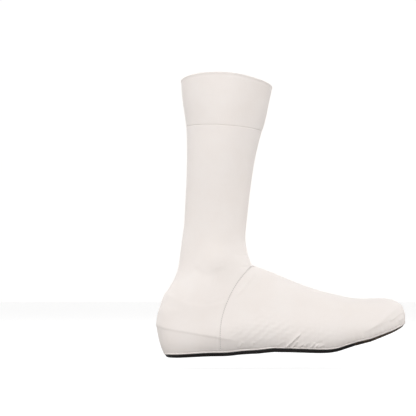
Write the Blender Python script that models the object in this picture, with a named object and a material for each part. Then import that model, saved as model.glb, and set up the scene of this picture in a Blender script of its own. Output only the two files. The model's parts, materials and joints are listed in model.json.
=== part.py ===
"""A tall cycling overshoe of white stretch cloth, for a left foot, in the form that a shoed foot gives it.

Units are metres. +X runs to the toe, +Z up and +Y to the outer side of the foot. The origin lies under the
ankle at the level of the sole, where the foot that holds the overshoe up would stand.
"""

import math
from collections import namedtuple

import bmesh
import bpy
import numpy as np

# Walls and gaps
PANEL_WALL = 0.0014
BAND_WALL = 0.0020
BINDING_WALL = 0.0020
BINDING_HEIGHT = 0.0020
BINDING_PROUD = 0.0004
SOLE_WALL = 0.0016
GAP = 0.0004
WHITE_LIFT = BINDING_HEIGHT + GAP

# Sections from the cuff to the toe. Each is a rounded ring in a plane across the foot, seen from the side
# as a straight chord from its front or top point to its back or bottom point. The widest point lies at a
# share of the chord, and the two powers set how square the ring is above and below it.
Section = namedtuple(
    "Section", "front_x front_z back_x back_z centre inner outer widest upper lower"
)
SECTIONS = (
    # leg
    Section(0.0734, 0.3340, -0.0408, 0.3420, 0.0, 0.0528, 0.0528, 0.50, 2.0, 2.0),
    Section(0.0656, 0.3000, -0.0382, 0.3070, 0.0, 0.0494, 0.0494, 0.50, 2.0, 2.0),
    Section(0.0572, 0.2680, -0.0336, 0.2740, 0.0, 0.0449, 0.0449, 0.50, 2.0, 2.0),
    Section(0.0498, 0.2370, -0.0326, 0.2420, 0.0, 0.0407, 0.0407, 0.50, 2.0, 2.0),
    Section(0.0450, 0.2080, -0.0333, 0.2110, 0.0, 0.0354, 0.0354, 0.49, 2.0, 2.0),
    Section(0.0416, 0.1800, -0.0347, 0.1820, 0.0, 0.0314, 0.0314, 0.47, 2.0, 1.9),
    Section(0.0390, 0.1570, -0.0361, 0.1570, 0.0, 0.0287, 0.0287, 0.45, 2.0, 1.9),
    Section(0.0376, 0.1400, -0.0386, 0.1380, 0.0, 0.0279, 0.0279, 0.43, 2.0, 1.9),
    # ankle and heel, fanning about the front of the ankle
    Section(0.0384, 0.1280, -0.0410, 0.1200, 0.0, 0.0286, 0.0286, 0.43, 2.0, 1.9),
    Section(0.0406, 0.1180, -0.0434, 0.1030, 0.0, 0.0306, 0.0308, 0.43, 2.0, 1.9),
    Section(0.0435, 0.1115, -0.0486, 0.0885, 0.0, 0.0322, 0.0325, 0.44, 2.0, 2.0),
    Section(0.0462, 0.1080, -0.0570, 0.0755, 0.0, 0.0338, 0.0342, 0.47, 2.0, 2.1),
    Section(0.0488, 0.1062, -0.0645, 0.0600, 0.0, 0.0350, 0.0358, 0.50, 2.0, 2.2),
    Section(0.0515, 0.1050, -0.0690, 0.0420, 0.0, 0.0362, 0.0372, 0.54, 2.0, 2.3),
    Section(0.0545, 0.1042, -0.0676, 0.0240, 0.0, 0.0372, 0.0385, 0.58, 2.0, 2.4),
    Section(0.0580, 0.1030, -0.0625, 0.0070, 0.0, 0.0380, 0.0398, 0.62, 2.0, 2.6),
    Section(0.0620, 0.1015, -0.0520, -0.0060, 0.0, 0.0386, 0.0410, 0.64, 2.0, 2.8),
    # instep and ball
    Section(0.0670, 0.0993, -0.0250, -0.0100, -0.0010, 0.0388, 0.0425, 0.65, 2.0, 3.0),
    Section(0.0745, 0.0965, 0.0100, -0.0100, -0.0020, 0.0390, 0.0445, 0.66, 2.0, 3.0),
    Section(0.0870, 0.0915, 0.0480, -0.0095, -0.0030, 0.0405, 0.0480, 0.67, 2.0, 3.0),
    Section(0.1040, 0.0845, 0.0840, -0.0090, -0.0040, 0.0430, 0.0520, 0.68, 2.0, 3.0),
    Section(0.1240, 0.0775, 0.1160, -0.0080, -0.0050, 0.0455, 0.0550, 0.68, 2.0, 3.0),
    Section(0.1450, 0.0722, 0.1420, -0.0050, -0.0060, 0.0452, 0.0545, 0.67, 2.0, 3.0),
    # toe, tipping forward until the last ring closes under its front
    Section(0.1660, 0.0680, 0.1620, 0.0010, -0.0070, 0.0440, 0.0520, 0.66, 2.0, 3.0),
    Section(0.1850, 0.0675, 0.1770, 0.0060, -0.0080, 0.0415, 0.0480, 0.66, 2.0, 3.0),
    Section(0.2020, 0.0684, 0.1880, 0.0100, -0.0090, 0.0385, 0.0435, 0.66, 2.0, 3.0),
    Section(0.2160, 0.0647, 0.1950, 0.0120, -0.0100, 0.0350, 0.0388, 0.65, 2.0, 2.8),
    Section(0.2245, 0.0582, 0.2000, 0.0140, -0.0105, 0.0312, 0.0340, 0.62, 2.0, 2.6),
    Section(0.2285, 0.0480, 0.2040, 0.0160, -0.0110, 0.0268, 0.0288, 0.57, 2.0, 2.4),
    Section(0.2265, 0.0375, 0.2075, 0.0185, -0.0110, 0.0215, 0.0228, 0.52, 2.0, 2.2),
    Section(0.2205, 0.0290, 0.2110, 0.0215, -0.0110, 0.0140, 0.0145, 0.50, 2.0, 2.0),
)
LAST_RUN = len(SECTIONS) - 1

# Sections where lines of the side view begin or end: the leg's back and front, the foot's top, the toe
HEEL_RUN = 17
FRONT_RUN = 14
TOP_RUN = 9
TOE_RUN = 20

# The cuff's top edge at eight even steps round the leg, from the front by the outer side and the back
CUFF_EDGE = (0.3215, 0.3250, 0.3290, 0.3305, 0.3295, 0.3325, 0.3320, 0.3255)

# The seam between the band and the leg falls to the front
BAND_SEAM_FRONT = 0.2677
BAND_SEAM_BACK = 0.2736

# Rows of the leg and heel panel between the band's seam and the hem. Each runs from the back to a bend on
# the side and on to the front.
LegStation = namedtuple("LegStation", "back_height bend_x bend_height front_height")
LEG_STATIONS = (
    LegStation(0.2420, 0.0050, 0.2400, 0.2370),
    LegStation(0.1950, 0.0030, 0.1940, 0.1930),
    LegStation(0.1480, 0.0010, 0.1490, 0.1520),
    LegStation(0.1050, -0.0010, 0.1120, 0.1290),
    LegStation(0.0560, -0.0010, 0.0640, 0.1145),
)
FIRST_BEND_X = 0.0060

# The vamp's seam seen from the side, from the hem up to the front of the ankle
SeamPoint = namedtuple("SeamPoint", "x z")
VAMP_SEAM = (
    SeamPoint(0.0080, 0.0000),
    SeamPoint(0.0068, 0.0230),
    SeamPoint(0.0076, 0.0392),
    SeamPoint(0.0112, 0.0540),
    SeamPoint(0.0165, 0.0672),
    SeamPoint(0.0222, 0.0790),
    SeamPoint(0.0308, 0.0916),
    SeamPoint(0.0390, 0.1010),
)
SEAM_TOP_HEIGHT = 0.1080

# The white cloth's lower edge seen from the side, and how far the dark underside shows below it
HemPoint = namedtuple("HemPoint", "x z strip")
HEM = (
    HemPoint(-0.0720, 0.0010, 0.0026),
    HemPoint(-0.0400, 0.0010, 0.0034),
    HemPoint(0.0000, 0.0020, 0.0040),
    HemPoint(0.0400, 0.0050, 0.0042),
    HemPoint(0.0700, 0.0074, 0.0042),
    HemPoint(0.1000, 0.0066, 0.0042),
    HemPoint(0.1250, 0.0060, 0.0042),
    HemPoint(0.1400, 0.0066, 0.0042),
    HemPoint(0.1520, 0.0090, 0.0040),
    HemPoint(0.1700, 0.0145, 0.0036),
    HemPoint(0.1900, 0.0200, 0.0030),
    HemPoint(0.2100, 0.0278, 0.0022),
    HemPoint(0.2260, 0.0360, 0.0012),
)

# Rows of the vamp panel from its seam to the toe: where each leaves the hem, and its share of the top line
VampStation = namedtuple("VampStation", "hem_x top_share")
VAMP_STATIONS = (
    VampStation(0.0080, 0.00),
    VampStation(0.0480, 0.19),
    VampStation(0.0880, 0.37),
    VampStation(0.1260, 0.55),
    VampStation(0.1570, 0.72),
    VampStation(0.1760, 0.87),
    VampStation(0.1860, 1.00),
)

# Shallow folds and bumps of the stretched cloth: the middle and direction seen from the side, the half
# sizes along and across it, the height, and the side that has it (-1 inner, +1 outer, 0 both)
Fold = namedtuple("Fold", "x z degrees along across height side")
FOLDS = (
    # inner and outer ankle bones, and the hollow below them
    Fold(0.0030, 0.1130, 20.0, 0.0150, 0.0120, 0.0034, -1),
    Fold(-0.0030, 0.1010, 20.0, 0.0140, 0.0110, 0.0030, 1),
    Fold(-0.0020, 0.0900, -12.0, 0.0240, 0.0070, -0.0014, 0),
    # the shoe's collar and the top of its sole under the cloth of the heel
    Fold(-0.0390, 0.0655, -21.0, 0.0260, 0.0045, 0.0012, 0),
    Fold(-0.0350, 0.0310, -9.0, 0.0360, 0.0050, 0.0010, 0),
    # slack across the front of the ankle, and the end of the tongue over the instep
    Fold(0.0312, 0.1205, 7.0, 0.0120, 0.0030, -0.0010, 0),
    Fold(0.0620, 0.0980, -26.0, 0.0160, 0.0080, 0.0012, 0),
)
SIDE_BLEND = 0.0200

# The toe guard meets the undersole across the foot, and the undersole has two openings
GUARD_SEAM_X = 0.1640
Opening = namedtuple("Opening", "name x length width corner")
OPENINGS = (
    Opening("cleat_opening", 0.1200, 0.0720, 0.0560, 0.0120),
    Opening("heel_opening", -0.0250, 0.0460, 0.0420, 0.0120),
)
CUTTER_HEIGHT = 0.0400
CORNER_SEGMENTS = 5

# Grids: rows along a piece and steps round it
BAND_ROWS = 7
LEG_ROWS = 27
VAMP_ROWS = 22
HEEL_STEPS = 9
SEAM_STEPS = 12
BINDING_STEPS = 44
SOLE_STEPS = 18
GUARD_STEPS = 10

# The underside's inward rows, as shares of the way from its edge to its middle line
INWARD_SHARES = (0.05, 0.35, 0.70, 1.00)
UNDERSIDE_DROP = 0.0004
HEEL_AXIS_X = -0.0300
TOE_AXIS_X = 0.1920
ROUND_END_POWER = 1.7

# Fineness of the lines that the grids are read from
SAMPLES = 60
LINE_SAMPLES = 600
HALVINGS = 24
SLOPE_STEP = 0.0002
MERGE = 0.00001

# How fast a panel's rows take up the curve of its last seam, and the angle that shades as an edge
SETTLE_POWER = 3
SHARP_DEGREES = 50.0

WHITE = (0.880, 0.860, 0.840, 1.0)
BROWN = (0.070, 0.045, 0.032, 1.0)
BLACK = (0.012, 0.010, 0.010, 1.0)


def smooth_rows(table, run):
    """A table's columns at each run, on a smooth curve through its rows."""
    values = np.array(table)
    last = len(values) - 1
    run = np.clip(np.asarray(run, float), 0.0, last)
    low = np.minimum(run.astype(int), last - 1)
    part = (run - low)[..., None]
    before, start, end, after = (values[np.clip(low + k, 0, last)] for k in (-1, 0, 1, 2))
    bend = 2.0 * before - 5.0 * start + 4.0 * end - after
    twist = 3.0 * (start - end) + after - before
    return start + 0.5 * part * (end - before + part * (bend + part * twist))


def section_at(run):
    """The section at each run along the form."""
    return Section(*np.moveaxis(smooth_rows(SECTIONS, run), -1, 0))


def run_through(x, z):
    """The run of the section whose chord passes through each side-view point, by halving."""
    low = np.zeros(np.shape(x))
    high = np.full(np.shape(x), float(LAST_RUN))
    for _ in range(HALVINGS):
        middle = 0.5 * (low + high)
        s = section_at(middle)
        turn = (s.front_x - s.back_x) * (z - s.back_z) - (s.front_z - s.back_z) * (x - s.back_x)
        low = np.where(turn < 0.0, middle, low)
        high = np.where(turn < 0.0, high, middle)
    return 0.5 * (low + high)


def shares(x, z):
    """The section through each side-view point, the point's share of the way from its widest line to its end,
    and the ring's power there."""
    s = section_at(run_through(x, z))
    chord_x = s.back_x - s.front_x
    chord_z = s.back_z - s.front_z
    along = ((x - s.front_x) * chord_x + (z - s.front_z) * chord_z) / (chord_x**2 + chord_z**2)
    above = along < s.widest
    share = np.where(above, (s.widest - along) / s.widest, (along - s.widest) / (1.0 - s.widest))
    return s, share, np.where(above, s.upper, s.lower)


def side_points(x, z, side):
    """Points of the form's inner (-1) or outer (+1) side over side-view points."""
    s, share, power = shares(x, z)
    reach = (1.0 - np.clip(share, 0.0, 1.0) ** power) ** (1.0 / power)
    half = s.outer if side > 0 else s.inner
    return np.stack([x, s.centre + side * half * reach, z], axis=-1)


def fullness(points):
    """1 on the form's surface, more outside it and less inside."""
    x, y, z = np.moveaxis(points, -1, 0)
    s, share, power = shares(x, z)
    off = y - s.centre
    half = np.where(off > 0.0, s.outer, s.inner)
    return share**power + np.abs(off / half) ** power


def outward(points):
    """The form's unit normals at points on it."""
    steps = SLOPE_STEP * np.eye(3)
    slope = np.stack([fullness(points + step) - fullness(points - step) for step in steps], axis=-1)
    return slope / np.linalg.norm(slope, axis=-1, keepdims=True)


def relief(points):
    """The height of the folds and bumps at points on the form."""
    x, y, z = np.moveaxis(points, -1, 0)
    height = np.zeros(x.shape)
    for fold in FOLDS:
        turn = math.radians(fold.degrees)
        along = ((x - fold.x) * math.cos(turn) + (z - fold.z) * math.sin(turn)) / fold.along
        across = ((z - fold.z) * math.cos(turn) - (x - fold.x) * math.sin(turn)) / fold.across
        share = np.clip(0.5 + fold.side * y / SIDE_BLEND, 0.0, 1.0) if fold.side else 1.0
        height += fold.height * share * np.exp(-(along**2) - across**2)
    return height


def outline(first_run, last_run, end):
    """The form's front or back line in the side view between two runs."""
    s = section_at(np.linspace(first_run, last_run, LINE_SAMPLES))
    line = (s.front_x, s.front_z) if end == "front" else (s.back_x, s.back_z)
    return np.stack(line, axis=-1)


BACK_LINE = outline(0, HEEL_RUN, "back")
FRONT_LINE = outline(0, FRONT_RUN, "front")
TOP_LINE = outline(TOP_RUN, LAST_RUN, "front")
TOE_LINE = outline(TOE_RUN, LAST_RUN, "front")
HEM_CURVE = smooth_rows(HEM, np.linspace(0, len(HEM) - 1, LINE_SAMPLES))


def at_height(line, height):
    """The point of a falling line at a height."""
    return np.array([np.interp(-height, -line[:, 1], line[:, 0]), height])


def hem_height(x, lift=0.0, strip_share=0.0):
    """The height of the white cloth's edge at x, raised by lift or lowered by a share of the dark strip."""
    strip = np.interp(x, HEM_CURVE[:, 0], HEM_CURVE[:, 2])
    return np.interp(x, HEM_CURVE[:, 0], HEM_CURVE[:, 1]) + lift - strip_share * strip


def hem_end(line, lift, strip_share=0.0):
    """The point where a line comes down to the hem."""
    over = line[:, 1] - hem_height(line[:, 0], lift, strip_share)
    last = np.flatnonzero(over > 0.0)[-1]
    part = over[last] / (over[last] - over[last + 1])
    return line[last] + part * (line[last + 1] - line[last])


def hem_path(x, lift, strip_share=0.0):
    """Side-view points along the hem."""
    return np.stack([x, hem_height(x, lift, strip_share)], axis=-1)


def resample(points, steps):
    """A line's points spread evenly over a number of steps."""
    length = np.concatenate([[0.0], np.cumsum(np.linalg.norm(np.diff(points, axis=0), axis=1))])
    even = np.linspace(0.0, length[-1], steps + 1)
    return np.stack([np.interp(even, length, column) for column in points.T], axis=-1)


def at_share(line, share):
    """The point at a share of a line's length."""
    even = resample(line, LINE_SAMPLES)
    at = np.linspace(0.0, 1.0, LINE_SAMPLES + 1)
    return np.array([np.interp(share, at, column) for column in even.T])


def straight(start, end, ways):
    """Points at shares of the way from start to end."""
    return np.asarray(start) + ways[:, None] * (np.asarray(end) - np.asarray(start))


def bow(curve, ways):
    """How far a side-view curve stands off its own chord, at shares of its length."""
    even = resample(curve, LINE_SAMPLES)
    at = np.linspace(0.0, 1.0, LINE_SAMPLES + 1)
    off = even - straight(even[0], even[-1], at)
    return np.stack([np.interp(ways, at, column) for column in off.T], axis=-1)


def over(path, side, steps):
    """A side-view path laid on one side of the form, in even steps."""
    return resample(side_points(path[:, 0], path[:, 1], side), steps)


# Shares of the way along a path, closer together at its start or at its end, where it rounds the form's edge
FROM_EDGE = np.linspace(0.0, 1.0, SAMPLES) ** 2
TO_EDGE = 1.0 - FROM_EDGE[::-1]


def vamp_seam(shift):
    """The vamp's seam in the side view from the binding to the front of the ankle, moved forward by shift."""
    curve = smooth_rows(VAMP_SEAM, np.linspace(0, len(VAMP_SEAM) - 1, LINE_SAMPLES))
    slope = np.gradient(curve, axis=0)
    slope /= np.linalg.norm(slope, axis=1, keepdims=True)
    curve += shift * np.stack([slope[:, 1], -slope[:, 0]], axis=-1)
    curve = curve[curve[:, 1] > hem_height(curve[:, 0], WHITE_LIFT)]
    foot = hem_path(curve[:1, 0], WHITE_LIFT)
    top = at_height(FRONT_LINE, SEAM_TOP_HEIGHT - shift)
    return np.concatenate([foot, curve, top[None]])


def ring(sides):
    """A closed row from its inner and outer sides, each running from the back to the front."""
    inner, outer = sides
    return np.concatenate([inner, outer[-2:0:-1]])


def arch(sides):
    """An open row from the inner hem over the top to the outer hem."""
    inner, outer = sides
    return np.concatenate([inner, outer[-2::-1]])


def cuff_height(turn):
    """The height of the cuff's edge at a share of the way round, from the front by the outer side."""
    table = [[height] for height in (CUFF_EDGE[-1], *CUFF_EDGE, CUFF_EDGE[0], CUFF_EDGE[1])]
    return smooth_rows(table, 1.0 + turn * len(CUFF_EDGE))[..., 0]


def band_rows():
    """Rows of the cuff band from its top edge to the seam below it."""
    turn = np.linspace(0.5, 0.0, 2 * SAMPLES)
    back_share = 0.5 * (1.0 - np.cos(2.0 * math.pi * turn))
    seam = BAND_SEAM_FRONT + back_share * (BAND_SEAM_BACK - BAND_SEAM_FRONT) + 0.5 * GAP
    rows = []
    for i in range(BAND_ROWS + 1):
        sides = []
        for side in (-1, 1):
            edge = cuff_height(turn if side > 0 else 1.0 - turn)
            z = edge + (seam - edge) * i / BAND_ROWS
            front, back = (at_height(line, z)[0] for line in (FRONT_LINE, BACK_LINE))
            path = np.stack([front + back_share * (back - front), z], axis=-1)
            sides.append(over(path, side, HEEL_STEPS + SEAM_STEPS))
        rows.append(ring(sides))
    return np.array(rows)


def leg_rows():
    """Rows of the leg and heel panel from the band's seam to the hem and the vamp's seam."""
    seam = vamp_seam(-0.5 * GAP)
    heel_end = hem_end(BACK_LINE, WHITE_LIFT)
    heel = hem_path(straight(heel_end[:1], seam[0, :1], FROM_EDGE)[:, 0], WHITE_LIFT)
    bend_share = (FIRST_BEND_X - BACK_LINE[0, 0]) / (FRONT_LINE[0, 0] - BACK_LINE[0, 0])
    bend_height = BAND_SEAM_BACK + bend_share * (BAND_SEAM_FRONT - BAND_SEAM_BACK)
    first = np.array([BAND_SEAM_BACK, FIRST_BEND_X, bend_height, BAND_SEAM_FRONT])
    first[[0, 2, 3]] -= 0.5 * GAP
    last = (heel_end[1], *seam[0], seam[-1, 1])
    table = (tuple(first), *LEG_STATIONS, last)
    rows = []
    stations = smooth_rows(table, np.linspace(0, len(table) - 1, LEG_ROWS + 1))
    for i, row in enumerate(stations):
        station = LegStation(*row)
        bend = (station.bend_x, station.bend_height)
        lower = straight(at_height(BACK_LINE, station.back_height), bend, FROM_EDGE)
        upper = straight(bend, at_height(FRONT_LINE, station.front_height), TO_EDGE)
        settled = (i / LEG_ROWS) ** SETTLE_POWER
        lower += settled * bow(heel, FROM_EDGE)
        upper += settled * bow(seam, TO_EDGE)
        sides = [
            np.concatenate([over(lower, side, HEEL_STEPS)[:-1], over(upper, side, SEAM_STEPS)])
            for side in (-1, 1)
        ]
        rows.append(ring(sides))
    return np.array(rows)


def vamp_rows():
    """Rows of the vamp panel from its seam to the hem round the toe."""
    seam = vamp_seam(0.5 * GAP)
    toe_end = hem_end(TOE_LINE, WHITE_LIFT)
    last_x = VAMP_STATIONS[-1].hem_x
    toe = hem_path(straight([last_x], toe_end[:1], TO_EDGE)[:, 0], WHITE_LIFT)
    top = TOP_LINE[TOP_LINE[:, 1] < seam[-1, 1]]
    top = top[top[:, 1] > hem_height(top[:, 0], WHITE_LIFT)]
    top = np.concatenate([seam[-1:], top, toe_end[None]])
    rows = []
    stations = smooth_rows(VAMP_STATIONS, np.linspace(0, len(VAMP_STATIONS) - 1, VAMP_ROWS + 1))
    for i, row in enumerate(stations):
        station = VampStation(*row)
        hem_point = (station.hem_x, hem_height(station.hem_x, WHITE_LIFT))
        start = hem_point if i else seam[0]
        way = i / VAMP_ROWS
        path = straight(start, at_share(top, station.top_share), TO_EDGE)
        path += (1.0 - way) ** SETTLE_POWER * bow(seam, TO_EDGE)
        path += way**SETTLE_POWER * bow(toe, TO_EDGE)
        rows.append(arch([over(path, side, SEAM_STEPS) for side in (-1, 1)]))
    return np.array(rows)


def binding_rows():
    """Rows of the hem binding, each running round the whole foot."""
    rows = []
    for lift in (0.0, 0.5 * BINDING_HEIGHT, BINDING_HEIGHT):
        heel_x = hem_end(BACK_LINE, lift)[0]
        toe_x = hem_end(TOE_LINE, lift)[0]
        ways = 0.5 * (1.0 - np.cos(np.linspace(0.0, math.pi, 4 * SAMPLES)))
        path = hem_path(heel_x + ways * (toe_x - heel_x), lift)
        rows.append(ring([over(path, side, BINDING_STEPS) for side in (-1, 1)]))
    return np.array(rows)


def underside_edges(line, join_x, steps):
    """The dark strip's upper and lower edges, from the join along the inner side round an end of the foot."""
    ways = np.linspace(1.0, 0.0, steps + 1) ** ROUND_END_POWER
    rows = []
    for lift, strip_share in ((-GAP, 0.0), (0.0, 1.0)):
        end_x = hem_end(line, lift, strip_share)[0]
        path = hem_path(end_x + ways * (join_x - end_x), lift, strip_share)
        rows.append(arch([side_points(path[:, 0], path[:, 1], side) for side in (-1, 1)]))
    return rows


def underside_walls(line, join_x, axis_x, steps):
    """The outer and inner faces of a panel under one end of the foot, from its strip to its middle line."""
    upper, lower = underside_edges(line, join_x, steps)
    low, high = sorted((join_x, axis_x))
    middle = lower.copy()
    middle[:, 0] = np.clip(lower[:, 0], low, high)
    middle[:, 1] = section_at(run_through(middle[:, 0], lower[:, 2])).centre
    middle[:, 2] = hem_height(middle[:, 0], 0.0, 1.0)
    down = np.array([0.0, 0.0, -1.0])
    inward = [lower + share * (middle - lower) + UNDERSIDE_DROP * down for share in INWARD_SHARES]
    corner = outward(lower) + down
    corner /= np.linalg.norm(corner, axis=-1, keepdims=True)
    outer = np.array([upper, lower, *inward])
    normals = np.array([outward(upper), corner, *(np.broadcast_to(down, lower.shape) for _ in inward)])
    return outer, outer - SOLE_WALL * normals


def cloth_walls(rows, wall, proud=0.0):
    """The outer and inner faces of a cloth piece whose rows lie on the form."""
    normals = outward(rows)
    outer = rows + (relief(rows) + proud)[..., None] * normals
    return outer, outer - wall * normals


def wall_faces(rows, columns, closed, rims):
    """The faces of a wall from its outer and inner grids: both sides, the rims along some rows, and those
    at the rows' ends unless the rows close."""
    layer = rows * columns
    across = columns if closed else columns - 1

    def corner(inner, i, j):
        return inner * layer + i * columns + j % columns

    faces = []
    for i in range(rows - 1):
        for j in range(across):
            quad = ((i, j), (i, j + 1), (i + 1, j + 1), (i + 1, j))
            faces.append([corner(0, *at) for at in quad])
            faces.append([corner(1, *at) for at in reversed(quad)])
    for i in rims:
        for j in range(across):
            faces.append([corner(0, i, j + 1), corner(0, i, j), corner(1, i, j), corner(1, i, j + 1)])
    for j in () if closed else (0, columns - 1):
        for i in range(rows - 1):
            faces.append([corner(0, i, j), corner(0, i + 1, j), corner(1, i + 1, j), corner(1, i, j)])
    return faces


def add_object(name, mesh, material):
    """A mesh object of one material in the scene."""
    mesh.materials.append(material)
    thing = bpy.data.objects.new(name, mesh)
    bpy.context.collection.objects.link(thing)
    return thing


def add_wall(name, walls, closed, material, sewn=False):
    """One closed piece from its outer and inner faces. A sewn piece's last row folds on a middle line."""
    outer, inner = walls
    rows, columns = outer.shape[:2]
    rims = (0,) if sewn else (0, rows - 1)
    points = np.concatenate([outer.reshape(-1, 3), inner.reshape(-1, 3)])
    mesh = bpy.data.meshes.new(name)
    mesh.from_pydata(points.tolist(), [], wall_faces(rows, columns, closed, rims))
    tidy = bmesh.new()
    tidy.from_mesh(mesh)
    bmesh.ops.remove_doubles(tidy, verts=tidy.verts, dist=MERGE)
    bmesh.ops.recalc_face_normals(tidy, faces=tidy.faces)
    tidy.to_mesh(mesh)
    tidy.free()
    mesh.shade_smooth()
    mesh.set_sharp_from_angle(angle=math.radians(SHARP_DEGREES))
    return add_object(name, mesh, material)


def add_material(name, colour, roughness):
    """A plain finish with its colour and roughness."""
    material = bpy.data.materials.new(name)
    material.use_nodes = True
    shader = material.node_tree.nodes["Principled BSDF"]
    shader.inputs["Base Color"].default_value = colour
    shader.inputs["Roughness"].default_value = roughness
    shader.inputs["Metallic"].default_value = 0.0
    return material


def clear_scene():
    """An empty scene to build in."""
    for thing in list(bpy.data.objects):
        bpy.data.objects.remove(thing, do_unlink=True)


def add_cutter(opening, target):
    """A rounded prism that cuts an opening through the target."""
    mesh = bpy.data.meshes.new(opening.name)
    prism = bmesh.new()
    bmesh.ops.create_cube(prism, size=1.0)
    bmesh.ops.scale(prism, vec=(opening.length, opening.width, CUTTER_HEIGHT), verts=prism.verts)
    upright = [edge for edge in prism.edges if abs(edge.verts[0].co.z - edge.verts[1].co.z) > MERGE]
    bmesh.ops.bevel(
        prism,
        geom=upright,
        offset=opening.corner,
        offset_type="OFFSET",
        segments=CORNER_SEGMENTS,
        profile=0.5,
        affect="EDGES",
    )
    prism.to_mesh(mesh)
    prism.free()
    cutter = bpy.data.objects.new(opening.name, mesh)
    bpy.context.collection.objects.link(cutter)
    cutter.location.x = opening.x
    cutter.hide_render = True
    cutter.display_type = "WIRE"
    cut = target.modifiers.new(opening.name, "BOOLEAN")
    cut.operation = "DIFFERENCE"
    cut.solver = "EXACT"
    cut.object = cutter


def main():
    clear_scene()
    cloth = add_material("white_stretch_cloth", WHITE, 0.75)
    woven = add_material("brown_woven_guard", BROWN, 0.65)
    rubber = add_material("black_undersole", BLACK, 0.55)
    add_wall("cuff_band", cloth_walls(band_rows(), BAND_WALL), True, cloth)
    add_wall("leg_heel_panel", cloth_walls(leg_rows(), PANEL_WALL), True, cloth)
    add_wall("vamp_panel", cloth_walls(vamp_rows(), PANEL_WALL), False, cloth)
    roll = BINDING_PROUD * np.array([0.0, 1.0, 0.0])[:, None]
    add_wall("hem_binding", cloth_walls(binding_rows(), BINDING_WALL, roll), True, cloth)
    sole = underside_walls(BACK_LINE, GUARD_SEAM_X - 0.5 * GAP, HEEL_AXIS_X, SOLE_STEPS)
    guard = underside_walls(TOE_LINE, GUARD_SEAM_X + 0.5 * GAP, TOE_AXIS_X, GUARD_STEPS)
    undersole = add_wall("undersole", sole, False, rubber, sewn=True)
    for opening in OPENINGS:
        add_cutter(opening, undersole)
    add_wall("toe_guard", guard, False, woven, sewn=True)


main()
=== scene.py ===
"""A white stretch overshoe for a left cycling shoe, held in the form of its foot."""
import json
import math

import bpy
import numpy as np
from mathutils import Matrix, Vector
from mathutils.bvhtree import BVHTree
from mathutils.kdtree import KDTree

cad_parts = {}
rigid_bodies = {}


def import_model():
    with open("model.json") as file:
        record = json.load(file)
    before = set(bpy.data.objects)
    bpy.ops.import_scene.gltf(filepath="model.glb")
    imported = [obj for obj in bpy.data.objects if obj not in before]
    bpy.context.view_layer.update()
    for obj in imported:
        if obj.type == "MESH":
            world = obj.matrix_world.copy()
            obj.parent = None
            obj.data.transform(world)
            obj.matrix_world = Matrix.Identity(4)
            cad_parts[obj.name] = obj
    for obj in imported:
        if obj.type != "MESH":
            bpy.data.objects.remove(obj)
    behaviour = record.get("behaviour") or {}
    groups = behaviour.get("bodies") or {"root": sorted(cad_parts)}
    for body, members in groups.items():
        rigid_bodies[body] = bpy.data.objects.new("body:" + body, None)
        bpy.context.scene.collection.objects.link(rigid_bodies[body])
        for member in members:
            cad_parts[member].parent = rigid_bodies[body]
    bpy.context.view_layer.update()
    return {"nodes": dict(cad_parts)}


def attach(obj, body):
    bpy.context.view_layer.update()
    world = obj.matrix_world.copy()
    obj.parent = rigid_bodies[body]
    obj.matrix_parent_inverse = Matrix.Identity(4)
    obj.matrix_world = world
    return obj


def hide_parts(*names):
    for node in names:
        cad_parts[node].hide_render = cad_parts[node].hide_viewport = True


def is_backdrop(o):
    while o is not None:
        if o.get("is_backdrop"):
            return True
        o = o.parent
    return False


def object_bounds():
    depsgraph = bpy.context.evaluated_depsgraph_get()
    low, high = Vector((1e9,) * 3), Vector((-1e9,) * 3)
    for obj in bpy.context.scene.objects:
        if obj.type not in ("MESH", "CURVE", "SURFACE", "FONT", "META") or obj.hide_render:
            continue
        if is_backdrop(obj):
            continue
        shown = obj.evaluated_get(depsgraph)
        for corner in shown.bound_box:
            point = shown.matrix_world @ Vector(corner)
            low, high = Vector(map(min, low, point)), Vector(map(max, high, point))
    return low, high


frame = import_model()


# The studio: a plain pale floor a little below the sole, and a low camera that looks slightly up at the inner
# side of the foot. A soft light stands beside the camera, with weaker ones to the right, behind and at both
# edges, in a room that is palest level with the eye.
FLOOR_HEIGHT = -0.0160
FLOOR_RADIUS = 9.0
FLOOR_GREY = (0.30, 0.30, 0.30, 1.0)
FLOOR_GLOW = 0.86
CAMERA_PLACE = (-0.0072, -1.600, 0.0775)
CAMERA_PITCH = math.radians(3.52)
CAMERA_FIELD = math.radians(17.73)
ROOM_COLOUR = (1.0, 0.985, 0.968, 1.0)
ROOM_LIGHT = 1.32
BACKDROP_LIGHT = 1.04
# heights from straight down, 0, to straight up, 1, and the room's grey there
ROOM_BANDS = (
    (0.00, (0.005, 0.005, 0.005)), (0.25, (0.010, 0.010, 0.010)), (0.50, (1.000, 1.000, 1.000)),
    (0.62, (1.000, 1.000, 1.000)), (0.75, (0.060, 0.060, 0.060)), (1.00, (0.010, 0.010, 0.010)),
)
LIGHT_COLOUR = (0.985, 1.0, 1.015)
LIGHT_AIM = (0.03, 0.0, 0.12)
# name, place, size, power
LIGHTS = (
    ("key_light", (-0.60, -2.20, 1.20), 1.2, 32.5),
    ("side_light", (1.60, -1.10, 0.80), 1.4, 4.2),
    ("back_light", (-0.20, 0.90, 1.90), 1.6, 20.0),
    ("left_rim_light", (-1.30, 0.50, 0.50), 1.0, 2.6),
    ("right_rim_light", (1.30, 0.50, 0.50), 1.0, 6.0),
)

bpy.ops.object.select_all(action="DESELECT")
bpy.ops.object.camera_add(location=CAMERA_PLACE, rotation=(math.pi / 2.0 + CAMERA_PITCH, 0.0, 0.0))
camera = bpy.context.object
camera.name = "studio_camera"
camera.data.angle = CAMERA_FIELD
camera.data.dof.use_dof = False
bpy.context.scene.camera = camera

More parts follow.
